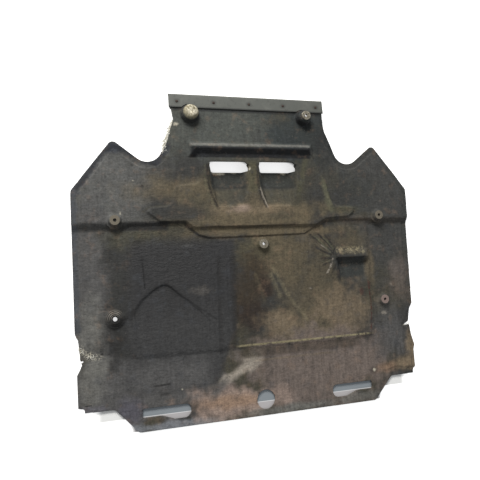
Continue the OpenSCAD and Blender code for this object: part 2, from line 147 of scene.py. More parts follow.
# A material's node tree, with the few things that every finish here needs
class Graph:
    def __init__(self, name):
        self.material = bpy.data.materials.new(name)
        self.material.use_nodes = True
        self.tree = self.material.node_tree
        self.tree.nodes.clear()
        self.spot = self.node("ShaderNodeTexCoord", {}, {}, "Object")
        self.x, self.y, self.z = (self.node("ShaderNodeSeparateXYZ", {}, {0: self.spot}, axis) * 1000
                                  for axis in "XYZ")

    def node(self, kind, settings, values, output=0):
        made = self.tree.nodes.new(kind)
        for name, value in settings.items():
            if name == "stops":
                ramp = made.color_ramp
                for i, (place, colour) in enumerate(value):
                    stop = ramp.elements[i] if i < 2 else ramp.elements.new(place)
                    stop.position = place
                    stop.color = colour
            else:
                setattr(made, name, value)
        for name, value in values.items():
            socket = made.inputs[name]
            if isinstance(value, Wire):
                self.tree.links.new(value.socket, socket)
            else:
                socket.default_value = value
        return Wire(self, made.outputs[output])

    def noise(self, scale, detail=3.0, rough=0.55, twist=0.0, spot=None):
        return self.node("ShaderNodeTexNoise", {},
                         {"Vector": spot or self.spot, "Scale": scale, "Detail": detail,
                          "Roughness": rough, "Distortion": twist}, "Fac")

    def cells(self, scale, feature="F1", spot=None):
        return self.node("ShaderNodeTexVoronoi", {"feature": feature},
                         {"Vector": spot or self.spot, "Scale": scale}, "Distance")

    def step(self, value, start, end):
        return self.node("ShaderNodeMapRange", {"interpolation_type": "SMOOTHSTEP", "clamp": True},
                         {0: value, 1: start, 2: end, 3: 0.0, 4: 1.0})

    def mix(self, under, over, share):
        return self.node("ShaderNodeMix", {"data_type": "RGBA"}, {0: share, 6: under, 7: over}, 2)

    def stretched(self, turn, scale):
        return self.node("ShaderNodeMapping", {}, {0: self.spot, 2: (0, 0, math.radians(turn)), 3: scale})

    # Soft oval patch, in millimetres, whose edge wanders by the value rag
    def patch(self, x, y, wide, high, soft=0.35, rag=None, turn=0.0):
        turned = self.node("ShaderNodeMapping", {"vector_type": "TEXTURE"},
                           {0: self.spot, 1: (x / 1000, y / 1000, 0), 2: (0, 0, math.radians(turn)),
                            3: (wide / 1000, high / 1000, 1000)})
        away = self.node("ShaderNodeVectorMath", {"operation": "LENGTH"}, {0: turned}, "Value")
        if rag is not None:
            away = away + rag
        return self.node("ShaderNodeMapRange", {"interpolation_type": "SMOOTHSTEP", "clamp": True},
                         {0: away, 1: 1 - soft, 2: 1 + soft, 3: 1.0, 4: 0.0})

    # Soft band between two values
    def band(self, value, start, end, soft):
        return self.step(value, start - soft, start + soft) * (1 - self.step(value, end - soft, end + soft))

    # Soft stroke along a broken line of points, made of one long oval for each stretch
    def stroke(self, points, wide, rag=None):
        drawn = None
        for (ax, ay), (bx, by) in zip(points, points[1:]):
            long = math.hypot(bx - ax, by - ay)
            turn = math.degrees(math.atan2(by - ay, bx - ax))
            oval = self.patch((ax + bx) / 2, (ay + by) / 2, long * 0.55 + wide, wide, 0.6, rag, turn)
            drawn = oval if drawn is None else drawn.high(oval)
        return drawn

    def attribute(self, name, output):
        return self.node("ShaderNodeAttribute", {"attribute_name": name}, {}, output)

    def finish(self, colour, rough, height, depth, metal=0.0, coat=0.0, bump=1.0, glow=None, glowStrength=0.0):
        normal = self.node("ShaderNodeBump", {}, {"Strength": bump, "Distance": depth, "Height": height}, "Normal")
        values = {"Base Color": colour, "Roughness": rough, "Metallic": metal, "Coat Weight": coat,
                  "Normal": normal, "Emission Strength": glowStrength}
        if glow is not None:
            values["Emission Color"] = glow
        shader = self.node("ShaderNodeBsdfPrincipled", {}, values, "BSDF")
        out = self.tree.nodes.new("ShaderNodeOutputMaterial")
        self.tree.links.new(shader.socket, out.inputs["Surface"])
        return self.material


def aimCamera():
    place, target = Vector(camera["place"]), Vector(camera["target"])
    forward = (target - place).normalized()
    right = forward.cross(Vector((0, 1, 0))).normalized()
    up = right.cross(forward)
    turn = Matrix.Rotation(math.radians(camera["roll"]), 3, forward)
    right, up = turn @ right, turn @ up
    lens = bpy.data.cameras.new("photoCamera")
    lens.lens = camera["lens"]
    lens.sensor_width = camera["sensor"]
    lens.clip_end = 30
    seen = bpy.data.objects.new("photoCamera", lens)
    bpy.context.scene.collection.objects.link(seen)
    seen.matrix_world = Matrix((
        (right.x, up.x, -forward.x, place.x),
        (right.y, up.y, -forward.y, place.y),
        (right.z, up.z, -forward.z, place.z),
        (0, 0, 0, 1),
    ))
    bpy.context.scene.camera = seen


aimCamera()
print("stage: camera set")


def makeLights():
    world = bpy.data.worlds.new("studioWorld")
    world.use_nodes = True
    background = world.node_tree.nodes["Background"]
    background.inputs["Color"].default_value = (0.97, 0.985, 1.0, 1)
    background.inputs["Strength"].default_value = lights["world"]
    bpy.context.scene.world = world
    middle = Vector((0, 0, 0.03))
    for name in ("key", "fill"):
        plan = lights[name]
        lamp = bpy.data.lights.new(name + "Light", "AREA")
        lamp.shape = "RECTANGLE"
        lamp.size, lamp.size_y = plan["size"]
        lamp.energy = plan["power"]
        lamp.color = plan["colour"]
        holder = bpy.data.objects.new(name + "Light", lamp)
        bpy.context.scene.collection.objects.link(holder)
        holder.location = plan["place"]
        holder.rotation_euler = (middle - Vector(plan["place"])).to_track_quat("-Z", "Y").to_euler()


def makeFloor():
    deselectAll()
    bpy.ops.mesh.primitive_plane_add(size=floor["size"], location=(0, 0, -floor["drop"]))
    ground = bpy.context.object
    ground.name = "studioFloor"
    g = Graph("paleFloor")
    tone = g.noise(1.5, 2.0)
    colour = g.mix(linear(*floor["colour"]), linear(*(c - 3 for c in floor["colour"])), tone)
    # Painted shade on the floor: blue-grey under the front slots and port, lighter just in front of them
    openings = g.band(g.x, -345.0, 345.0, 8.0) * g.band(g.y, -394.5, -340.0, 1.2)
    colour = g.mix(colour, linear(*floor["shaded"]), openings)
    nearer = g.band(g.x, -345.0, 345.0, 8.0) * g.band(g.y, -428.0, -394.5, 1.2)
    colour = g.mix(colour, linear(*floor["halfShaded"]), nearer)
    under = (g.band(g.x, -425.0, 425.0, 10.0) * g.band(g.y, -394.5, 150.0, 1.5)).high(
        g.band(g.x, -190.0, 190.0, 10.0) * g.band(g.y, 100.0, 360.0, 10.0)).high(nearer)
    # Painted light: the floor glows bright under the windows and holes, where the panel would shade it
    for spot in floor["lightSpots"]:
        under = under * (1 - g.patch(*spot, 0.15))
    glow = g.mix((1, 1, 1, 1), (0, 0, 0, 1), under)
    ground.data.materials.append(g.finish(colour, 0.9, tone, 0.001, bump=0.05, glow=glow, glowStrength=floor["glow"]))


makeLights()
makeFloor()
bpy.context.scene.view_settings.view_transform = "Standard"
print("stage: floor and lights set")

sheet = {
    "voxel": 0.0015,
    "rounding": 2,
    "removedBelow": 0.46,
    "triangles": 190000,
    "wave": 0.0007,
    "waveSize": 0.16,
    "ripple": 0.00028,
    "rippleSize": 0.013,
    "keepClear": 0.030,
}

# Where metal sits in the sheet, so that the sheet keeps its height round it
seats = [(0.157, 0.375), (-0.371, 0.094), (0.017, 0.023), (0.371, 0.094), (0.378, -0.149)]
rivetSpots = [(x / 10, 0.409) for x in (-2, -1, 0, 1, 2)]


# 0 where the sheet may move freely, 1 where something is fixed on it
def stillness(x, y):
    still = max(0.0, min(1.0, (y - 0.365) / 0.02))
    for sx, sy in seats:
        away = math.hypot(x - sx, y - sy)
        still = max(still, max(0.0, min(1.0, (sheet["keepClear"] - away) / 0.010)))
    return still


def moveSheet(piece):
    for v in piece.data.vertices:
        x, y = v.co.x, v.co.y
        free = 1 - stillness(x, y)
        if free <= 0:
            continue
        flat = Vector((x, y, 0.0))
        wave = noise.noise(flat / sheet["waveSize"]) + 0.5 * noise.noise(flat / (sheet["waveSize"] * 0.4))
        ripple = noise.noise(Vector((x / (sheet["rippleSize"] * 1.6), y / sheet["rippleSize"], 3.7)))
        ripple += 0.6 * noise.noise(Vector((x, y * 1.3, 9.1)) / (sheet["rippleSize"] * 0.6))
        v.co.z += free * (wave * sheet["wave"] + ripple * sheet["ripple"])
        if v.co.z < 0.0:
            v.co.z *= 0.3


# 0 below start, 1 above end and smooth between them
def easeStep(value, start, end):
    u = max(0.0, min(1.0, (value - start) / (end - start)))
    return u * u * (3 - 2 * u)


# How much of an oval covers a point: dx and dy are from its middle, c and s turn it
def ovalShare(dx, dy, wide, high, c, s, rag, soft):
    away = math.hypot((dx * c + dy * s) / wide, (dy * c - dx * s) / high) + rag
    return 1 - easeStep(away, 1 - soft, 1 + soft)


# Lays one oval over the colours; each is red, green, blue and cover, the first three times the cover
def layOval(colours, points, rags, oval):
    tone, x, y, wide, high, soft, share, turn = oval
    wanted = linear(*felt[tone])
    c, s = math.cos(math.radians(turn)), math.sin(math.radians(turn))
    limit = max(wide, high) * (1.5 + soft)
    for i, p in points:
        dx, dy = p.x - x, p.y - y
        if abs(dx) > limit or abs(dy) > limit:
            continue
        part = share * ovalShare(dx, dy, wide, high, c, s, rags[i], soft)
        if part > 0:
            own = colours[i]
            for k in range(4):
                own[k] += (wanted[k] - own[k]) * part


def layStroke(colours, points, rags, tone, line, wide, share):
    wanted = linear(*felt[tone])
    low = [min(p[k] for p in line) - wide * 2 for k in (0, 1)]
    high = [max(p[k] for p in line) + wide * 2 for k in (0, 1)]
    for i, p in points:
        if not (low[0] < p.x < high[0] and low[1] < p.y < high[1]):
            continue
        away = min(fromStretch(p, a, b) for a, b in zip(line, line[1:])) / wide + rags[i]
        part = share * (1 - easeStep(away, 0.35, 1.35))
        if part > 0:
            own = colours[i]
            for k in range(4):
                own[k] += (wanted[k] - own[k]) * part


def fromStretch(p, a, b):
    long = math.hypot(b[0] - a[0], b[1] - a[1])
    ux, uy = (b[0] - a[0]) / long, (b[1] - a[1]) / long
    dx, dy = p.x - a[0], p.y - a[1]
    along = max(0.0, min(long, dx * ux + dy * uy))
    return math.hypot(dx - along * ux, dy - along * uy)


def keepColours(piece, name, colours):
    layer = piece.data.color_attributes.new(name=name, type="FLOAT_COLOR", domain="POINT")
    for i, own in enumerate(colours):
        cover = max(own[3], 0.0001)
        layer.data[i].color = (own[0] / cover, own[1] / cover, own[2] / cover, own[3])


# Broad stains as a colour at each point of the sheet, and finer marks as a second layer
def paintSheet(piece):
    tones = {name: linear(*value) for name, value in felt.items()}
    points = [(v.index, v.co * 1000) for v in piece.data.vertices if v.normal.z > -0.3]
    count = len(piece.data.vertices)
    stain = [list(tones["charcoal"]) for _ in range(count)]
    broad, fine = [0.0] * count, [0.0] * count
    for i, p in points:
        share = easeStep(noise.noise(p / 150), -0.25, 0.25)
        stain[i] = [a + (b - a) * share for a, b in zip(tones["charcoal"], tones["olive"])]
        small = noise.noise(p / 13)
        broad[i] = 0.55 * noise.noise(p / 46) + 0.30 * small
        fine[i] = 0.35 * small + 0.40 * noise.noise(p / 6)
    for oval in stains:
        layOval(stain, points, broad, oval)
    keepColours(piece, "stain", stain)
    mark = [[0.0, 0.0, 0.0, 0.0] for _ in range(count)]
    for tone, line, wide, share in lines:
        layStroke(mark, points, fine, tone, line, wide, share)
    for tone, x, y, wide, high, share in spots:
        layOval(mark, points, fine, (tone, x, y, wide, high, 0.4, share, 0))
    keepColours(piece, "mark", mark)


def countTriangles(piece):
    return sum(len(face.vertices) - 2 for face in piece.data.polygons)


# Takes away a share of all triangles; a named group keeps that to its own points
def thinSheet(piece, removed, group):
    thin = piece.modifiers.new("fewerFaces", "DECIMATE")
    thin.ratio = 1 - removed
    thin.vertex_group = group
    applyAll(piece)


def makeSheet():
    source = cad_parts["panel"]
    piece = source.copy()
    piece.data = source.data.copy()
    piece.name = "pressedSheet"
    piece.parent = None
    bpy.context.scene.collection.objects.link(piece)
    makeActive(piece)
    bpy.ops.object.mode_set(mode="EDIT")
    bpy.ops.mesh.select_all(action="SELECT")
    bpy.ops.mesh.remove_doubles(threshold=0.00001)
    bpy.ops.object.mode_set(mode="OBJECT")
    remesh = piece.modifiers.new("closeMesh", "REMESH")
    remesh.mode = "VOXEL"
    remesh.voxel_size = sheet["voxel"]
    soften = piece.modifiers.new("softFolds", "SMOOTH")
    soften.factor = 0.45
    soften.iterations = sheet["rounding"]
    applyAll(piece)
    moveSheet(piece)
    print("stage: sheet remeshed to", len(piece.data.polygons), "faces")
    below = piece.vertex_groups.new(name="below")
    below.add([v.index for v in piece.data.vertices if v.normal.z < -0.3], 1.0, "REPLACE")
    thinSheet(piece, sheet["removedBelow"], "below")
    thinSheet(piece, 1 - sheet["triangles"] / countTriangles(piece), "")
    above = sum(1 for v in piece.data.vertices if v.normal.z > -0.3)
    print("stage: sheet thinned to", len(piece.data.vertices), "points, of which above", above)
    paintSheet(piece)
    makeActive(piece)
    bpy.ops.object.shade_smooth_by_angle(angle=math.radians(50))
    piece.data.materials.clear()
    piece.data.materials.append(feltFinish())
    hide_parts("panel")
    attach(piece, "root")
    print("stage: sheet made,", len(piece.data.polygons), "faces")


# Tones as they look in plain light
felt = {
    "charcoal": (51, 51, 49),
    "olive": (66, 63, 52),
    "black": (8, 8, 9),
    "sootAndShade": (14, 16, 19),
    "teal": (38, 44, 45),
    "blueGrey": (66, 70, 76),
    "navy": (36, 40, 48),
    "slate": (47, 50, 48),
    "neck": (70, 73, 69),
    "pale": (87, 87, 85),
    "wing": (64, 64, 62),
    "oil": (43, 43, 44),
    "oilLight": (54, 54, 54),
    "oilDarkAndShade": (26, 25, 24),
    "ash": (82, 81, 80),
    "ashPale": (108, 107, 102),
    "steel": (124, 127, 132),
    "violet": (84, 82, 94),
    "moss": (75, 73, 55),
    "mossPale": (94, 93, 73),
    "tan": (95, 85, 66),
    "tanLight": (118, 104, 84),
    "brown": (55, 46, 34),
    "darkBrown": (42, 33, 28),
    "mauve": (108, 97, 90),
    "clay": (160, 140, 128),
    "clayPale": (160, 151, 139),
    "rustMud": (144, 117, 94),
    "dust": (152, 142, 112),
    "cream": (208, 201, 181),
    "rust": (70, 38, 32),
}

# Stains: tone, middle, half width and half length in millimetres, softness, share and turn in degrees
stains = [
    ("neck", -90, 350, 190, 90, 0.5, 0.9, 0), ("teal", 175, 335, 130, 95, 0.5, 0.85, 0),
    ("slate", 215, 265, 70, 50, 0.6, 0.8, 0), ("sootAndShade", 214, 285, 24, 50, 0.6, 0.5, 0),
    ("pale", -390, 180, 115, 105, 0.5, 0.95, 0), ("pale", -300, 205, 70, 34, 0.6, 0.6, 0),
    ("charcoal", -252, 222, 32, 28, 0.6, 0.6, 0), ("navy", -366, 276, 26, 12, 0.6, 0.8, 0),
    ("wing", 390, 180, 160, 130, 0.5, 0.9, 0), ("slate", 300, 160, 80, 60, 0.6, 0.5, 0),
    ("tan", -215, 172, 100, 32, 0.6, 0.75, 0), ("charcoal", -215, 112, 80, 18, 0.6, 0.7, 0),
    ("olive", 180, 175, 60, 70, 0.5, 0.6, 0), ("charcoal", 180, 155, 42, 44, 0.6, 0.7, 0),
    ("mossPale", 216, 140, 9, 52, 0.6, 0.85, 14), ("moss", 137, 195, 8, 52, 0.6, 0.7, -14),
    ("charcoal", 268, 150, 44, 26, 0.5, 0.7, 0), ("moss", 255, 112, 50, 10, 0.6, 0.7, 0),
    ("tan", 10, 98, 190, 40, 0.5, 0.95, 0), ("tanLight", -20, 118, 110, 14, 0.7, 0.7, 0),
    ("clay", -42, 119, 30, 9, 0.7, 0.5, 8), ("olive", 75, 98, 34, 12, 0.5, 0.6, 0),
    ("charcoal", -192, 108, 62, 16, 0.6, 0.85, 0),
    ("tan", 40, 57, 220, 17, 0.5, 0.9, 0), ("mauve", 330, 84, 60, 12, 0.6, 0.3, 0),
    ("ash", -440, -40, 46, 220, 0.4, 0.9, 0), ("ashPale", -434, -165, 28, 60, 0.6, 0.8, 0),
    ("moss", -335, 46, 60, 24, 0.7, 0.45, 0), ("wing", 410, 20, 100, 130, 0.5, 0.8, 0),
    ("mauve", 440, -85, 40, 70, 0.6, 0.5, 0), ("ash", 395, -215, 60, 60, 0.6, 0.7, 0),
    ("tan", 60, 0, 120, 70, 0.5, 0.75, 0), ("moss", -15, 5, 50, 40, 0.6, 0.5, 0),
    ("olive", 180, -70, 80, 60, 0.6, 0.7, 0), ("tan", 140, -130, 90, 110, 0.5, 0.6, 0),
    ("brown", -25, -95, 48, 90, 0.6, 0.9, -4), ("darkBrown", 18, -100, 20, 26, 0.7, 0.8, 0),
    ("darkBrown", -18, -175, 34, 44, 0.6, 0.75, 0), ("tanLight", 70, -205, 70, 42, 0.6, 0.85, 0),
    ("tanLight", 245, -175, 85, 62, 0.5, 0.8, 0), ("tanLight", 200, -228, 100, 14, 0.6, 0.5, 0),
    ("tan", 262, 22, 60, 26, 0.6, 0.6, 0), ("tan", 341, -55, 14, 48, 0.5, 0.7, 4),
    ("mauve", 150, -330, 210, 110, 0.4, 0.95, 0), ("mauve", 330, -310, 60, 60, 0.5, 0.8, 0),
    ("ash", 400, -270, 50, 50, 0.6, 0.8, 0), ("rustMud", 385, -340, 34, 14, 0.6, 0.7, 10),
    ("tanLight", 440, -335, 50, 18, 0.6, 0.95, 0), ("tanLight", 460, -285, 16, 46, 0.6, 0.85, 0),
    ("ash", -320, -330, 210, 80, 0.4, 0.95, 0), ("ashPale", -440, -320, 26, 60, 0.5, 0.7, 0),
    ("ashPale", -432, -262, 34, 26, 0.6, 0.8, 0), ("violet", -352, -372, 34, 26, 0.6, 0.6, 0),
    ("steel", -250, -423, 120, 11, 0.5, 0.9, 0), ("violet", -440, -362, 40, 10, 0.6, 0.5, 0),
    ("clay", -95, -385, 105, 40, 0.4, 0.85, 0), ("rustMud", -100, -383, 96, 17, 0.6, 0.7, 0),
    ("clay", 48, -386, 26, 26, 0.6, 0.6, 0), ("clayPale", -70, -312, 62, 12, 0.6, 0.85, 22),
    ("clayPale", -30, -284, 26, 20, 0.6, 0.6, 40), ("ash", -128, -352, 12, 30, 0.5, 0.8, -42),
    ("ashPale", 80, -420, 130, 10, 0.6, 0.9, 0), ("ashPale", 290, -412, 60, 12, 0.6, 0.6, 0),
]

# Dark and pale lines: tone, points, half width and share
lines = [
    ("navy", [(-468, 164), (-394, 272), (-368, 286), (-338, 278), (-296, 248), (-262, 242), (-232, 286)], 11, 0.9),
    ("sootAndShade", [(-464, 166), (-392, 270), (-366, 282), (-338, 272), (-296, 244), (-264, 236)], 4.4, 0.5),
    ("slate", [(466, 165), (392, 278), (368, 287), (344, 279), (300, 248), (275, 240), (252, 252), (238, 285),
               (222, 345)], 7.9, 0.65),
    ("sootAndShade", [(250, 250), (236, 285), (216, 345), (212, 385)], 4.9, 0.6),
    ("blueGrey", [(-468, 165), (-470, 90), (-470, -170)], 11, 0.8),
    ("slate", [(470, 160), (468, -110)], 10.4, 0.6),
    # Painted shade along the edge of the step in front of the plateau
    ("black", [(-266, 86), (-196, 86), (-183, 70), (-158, 51), (-126, 42)], 3.6, 0.85),
    # Painted shade in the scoops' left walls, with painted highlights along their rims
    ("black", [(-129, 236), (-129, 190), (-121, 158), (-105, 121)], 3.4, 0.9),
    ("black", [(9, 238), (9, 188), (16, 158), (29, 124)], 3.2, 0.85),
    ("mossPale", [(-137, 236), (-138, 190), (-129, 156), (-113, 120)], 3.1, 0.4),
    ("clayPale", [(15, 176), (22, 152), (36, 119)], 1.6, 0.6),
    # Painted shade along the upper edge of the left hollow, as a thin black line with broader dark bands
    ("black", [(-351, -153), (-334, -137), (-313, -106), (-272, -76), (-249, -70), (-214, -98), (-167, -135),
               (-122, -168)], 2.5, 0.75),
    ("oilDarkAndShade", [(-375, -165), (-351, -153), (-334, -137)], 10.9, 0.7),
    ("oilDarkAndShade", [(-276, -80), (-249, -74), (-222, -94)], 9.7, 0.5),
    # Painted shade in a short crease
    ("black", [(-306, 18), (-307, -14), (-302, -80)], 2.1, 0.75),
    # Painted shade along the rest of that step edge, in brown
    ("brown", [(-126, 43), (92, 46), (143, 49)], 2.4, 0.7),
    ("brown", [(143, 49), (165, 63), (192, 78), (258, 84), (340, 84)], 3.3, 0.65),
    ("brown", [(-150, 74), (-40, 70), (110, 74)], 3.5, 0.75),
    ("olive", [(-300, 116), (-286, 127), (-240, 129), (-226, 150), (-212, 178)], 3.5, 0.6),
    ("oilDarkAndShade", [(-109, -10), (-112, -255)], 6.8, 0.6),
    ("oilDarkAndShade", [(-70, -10), (-76, -245)], 9.8, 0.6),
    ("dust", [(38, -36), (84, -122), (134, -190)], 6, 0.22), ("dust", [(36, -60), (58, -118)], 7, 0.2),
    ("dust", [(-8, -60), (14, -130)], 6, 0.1), ("charcoal", [(150, -30), (104, -130), (112, -215)], 10.7, 0.3),
    # Painted shade in the creases of the puckered fan beside the pocket, with painted highlights on the ridges between
    # them
    ("clayPale", [(224, -26), (214, -50), (202, -66)], 2.6, 0.95), ("clayPale", [(222, -6), (190, 14)], 2.2, 0.6),
    ("sootAndShade", [(226, -10), (190, 20), (158, 44)], 3.2, 0.95), ("sootAndShade", [(220, -14), (192, -2), (176, 8)], 2.8, 0.9),
    ("sootAndShade", [(228, -2), (208, 22), (180, 48)], 3.2, 0.95), ("sootAndShade", [(220, -24), (186, -23)], 2.8, 0.85),
    ("sootAndShade", [(222, -32), (192, -42)], 2.8, 0.85), ("mossPale", [(218, -6), (172, 40)], 2.4, 0.8),
    ("sootAndShade", [(230, 2), (216, 26), (204, 40)], 3.2, 0.85), ("mossPale", [(226, 4), (198, 36)], 2.2, 0.7),
    ("mossPale", [(214, -18), (180, -10)], 2.2, 0.6), ("mossPale", [(216, -32), (190, -32)], 2.0, 0.5),
    ("sootAndShade", [(232, -42), (214, -74)], 2.6, 0.7),
    ("sootAndShade", [(462, -180), (448, -205), (436, -224)], 3.6, 0.5), ("cream", [(455, -224), (437, -229)], 1.8, 0.6),
    ("oilDarkAndShade", [(368, -352), (398, -344), (462, -349)], 2.7, 0.6),
]

# Small spots: tone, middle, half width and half length, share
spots = [
    ("black", -390, 203, 3, 3, 0.8), ("black", -324, 235, 3.4, 3.4, 0.85), ("black", -300, 180, 4, 4, 0.8),
    ("black", -321, 192, 2.6, 2.6, 0.6), ("cream", -322, 195, 3, 2, 0.5), ("black", -360, 250, 3, 3, 0.4),
    ("black", -99, 296, 3, 2.4, 0.9), ("black", 2, 294, 2.6, 2.2, 0.9), ("cream", -356, 112, 3, 3, 0.6),
    ("cream", -97, 219, 17, 4, 0.85), ("rustMud", -104, 215, 8, 3, 0.6), ("cream", 92, 220, 6, 3, 0.85),
    ("cream", -50, 221, 8, 2, 0.6), ("cream", -12, 226, 2.4, 4, 0.8), ("black", -6, 214, 2.5, 5, 0.7),
    ("oilDarkAndShade", -262, -344, 14, 4.5, 0.7), ("cream", -220, -338, 3, 2.4, 0.7), ("black", 329, -347, 11, 9, 0.5),
    ("cream", 331, -345, 4.2, 4.2, 0.85), ("clayPale", 378, -188, 9, 5, 0.6), ("clayPale", 408, -106, 3, 4, 0.6),
    ("clayPale", 150, -104, 4, 3, 0.6), ("rust", 308, -122, 8, 10, 0.6), ("rust", 334, -104, 5, 9, 0.55),
    ("black", -440, -205, 6, 6, 0.4), ("black", -317, 40, 9, 6, 0.5), ("clayPale", -160, -92, 26, 12, 0.12),
    ("pale", -190, 26, 16, 4, 0.4), ("clayPale", 278, -38, 26, 7, 0.35),
    # The black spot at 240, -74 is painted shade on the pocket's left side
    ("black", 240, -74, 6, 20, 0.45), ("cream", -206, 347, 6, 5, 0.8), ("pale", 335, 196, 8, 6, 0.5),
]


def feltFinish():
    g = Graph("oilyFelt")
    t = {name: linear(*value) for name, value in felt.items()}
    blotch = g.noise(21.0, 5.0, 0.62)
    mottle = g.noise(74.0, 5.0, 0.65)
    speck = g.noise(190.0, 3.0, 0.7)
    grain = g.noise(420.0, 3.0, 0.7)
    weave = g.noise(1.0, 4.0, 0.65, 0.3, g.stretched(0, (60.0, 420.0, 200.0)))
    streak = g.noise(1.0, 4.0, 0.6, 0.2, g.stretched(0, (130.0, 12.0, 60.0)))
    scuff = g.noise(1.0, 4.0, 0.6, 0.3, g.stretched(-62, (150.0, 14.0, 60.0)))
    rag = (blotch - 0.5) * 1.1 + (mottle - 0.5) * 0.5
    ragMm = (blotch - 0.5) * 34.0 + (mottle - 0.5) * 16.0
    fineMm = (mottle - 0.5) * 14.0 + (speck - 0.5) * 8.0

    colour = g.attribute("stain", "Color")
    # Scoop floors: grey towards the lip and tan towards the foot
    inScoops = g.band(g.x.size() - 69, -52.0, 50.0, 5.0)
    colour = g.mix(colour, t["slate"], inScoops * g.band(g.y + ragMm * 0.3, 174.0, 226.0, 9.0) * 0.85)
    colour = g.mix(colour, t["oilDarkAndShade"], inScoops * g.band(g.y + ragMm * 0.3, 176.0, 183.0, 3.0) * 0.5)
    colour = g.mix(colour, t["tan"], g.band(g.x + 5, -14.0, 14.0, 8.0) * g.band(g.y, 120.0, 238.0, 8.0) * 0.6)
    colour = g.mix(colour, t["moss"], g.band(g.x + 5, -12.0, 12.0, 6.0) * g.band(g.y, 165.0, 246.0, 10.0) * 0.7)
    # Painted shade on the down-facing slope of the step that crosses the panel, darkest at the far left and brown at
    # the right
    stepLeft = g.band(g.y + fineMm * 0.4, 68.0, 90.0, 4.0) * g.band(g.x, -474.0, -238.0, 8.0)
    colour = g.mix(colour, t["charcoal"], stepLeft * 0.7)
    colour = g.mix(colour, t["oilDarkAndShade"], stepLeft * g.step(g.x, -385.0, -330.0) * 0.75)
    colour = g.mix(colour, t["brown"], g.band(g.y + fineMm * 0.4, 70.0, 88.0, 5.0) * g.step(g.x, 250.0, 290.0) * 0.4)
    # Oil that soaked the left of the field
    oilRight = (-62 + (g.y - 60) * 0.03).low(-66 + (g.y + 190) * 0.42)
    oil = g.step(oilRight - g.x + ragMm * 0.5, -10.0, 14.0) * g.step(g.x + ragMm * 0.8, -372.0, -318.0)
    oil = oil * g.step(0.0 - g.y + ragMm * 0.8, -66.0, -22.0) * g.step(g.y + ragMm * 0.6, -352.0, -316.0)
    colour = g.mix(colour, t["oil"], oil * 0.95)
    colour = g.mix(colour, t["oilLight"], oil * g.step(0.0 - g.y, 110.0, 190.0) * 0.9)
    colour = g.mix(colour, t["ash"], oil * g.step(0.0 - g.y + ragMm, 225.0, 300.0) * g.step(0.0 - g.x, 120.0, 170.0) * 0.85)
    colour = g.mix(colour, t["oilDarkAndShade"], g.patch(-384, -195, 26, 70, 0.6, rag) * 0.45)
    # Fold at the front of the field; the brown band just in front of it is painted shade
    fold = g.y + 244 - g.x * 0.004
    colour = g.mix(colour, t["brown"], g.band(fold + fineMm * 0.3, -32.0, -8.0, 5.0) * g.band(g.x, -60.0, 290.0, 20.0) * 0.5)
    colour = g.mix(colour, t["dust"], g.band(fold + fineMm * 0.16, -2.0, 3.0, 2.0) * g.band(g.x, -70.0, 330.0, 14.0)
                   * g.step(blotch + (mottle - 0.5), 0.26, 0.5))
    colour = g.mix(colour, t["ash"], g.band(fold + fineMm * 0.2, -2.0, 2.0, 2.0) * g.band(g.x, -355.0, -100.0, 14.0)
                   * g.step(blotch, 0.4, 0.6) * 0.6)
    colour = g.mix(colour, t["tanLight"], g.band(fold + 42 + fineMm * 0.3, -2.0, 3.0, 3.0) * g.band(g.x, -20.0, 210.0, 14.0) * 0.4)
    red = g.stroke([(330, -96), (336, -155), (335, -190), (329, -238)], 2.6, (mottle - 0.5) * 1.6)
    colour = g.mix(colour, t["rust"], red * g.step(speck + (mottle - 0.5), 0.42, 0.55) * 0.9)
    colour = g.mix(colour, g.attribute("mark", "Color"), g.attribute("mark", "Alpha") * (0.85 + (speck - 0.5) * 0.9))
    # Painted shade under the bead, and a painted highlight along its crest
    wide = g.band(g.x + fineMm * 0.3, -172.0, 168.0, 5.0)
    colour = g.mix(colour, t["sootAndShade"], wide * g.band(g.y + fineMm * 0.12, 256.0, 284.0, 2.5) * 0.96)
    colour = g.mix(colour, t["ashPale"], wide * g.band(g.y + fineMm * 0.15, 287.0, 295.0, 3.0) * 0.7)
    # Painted shadow on the felt just in front of the strip
    colour = g.mix(colour, t["sootAndShade"], g.band(g.x, -212.0, 212.0, 6.0) * g.step(g.y + fineMm * 0.2, 381.0, 389.0) * 0.75)
    # Pocket: a rough lip, lighter with dust and painted light, over painted shade on the recess floor, its top wall and
    # its left side
    inPocket = g.band(g.x, 234.0, 322.0, 4.0)
    lip = inPocket * g.band(g.y + fineMm * 0.5, -14.0, 7.0, 4.0)
    colour = g.mix(colour, t["dust"], lip * g.step(speck + (mottle - 0.5) * 0.8, 0.36, 0.66) * 0.5)
    recess = inPocket * g.band(g.y + fineMm * 0.3 - g.x * 0.02, -82.0, -27.0, 6.0)
    colour = g.mix(colour, t["slate"], recess * 0.9)
    colour = g.mix(colour, t["sootAndShade"], inPocket * g.band(g.y + fineMm * 0.3, -30.0, -21.0, 3.0) * 0.3)
    colour = g.mix(colour, t["sootAndShade"], g.band(g.x + fineMm * 0.4, 233.0, 246.0, 5.0) * g.band(g.y, -84.0, -20.0, 8.0) * 0.5)
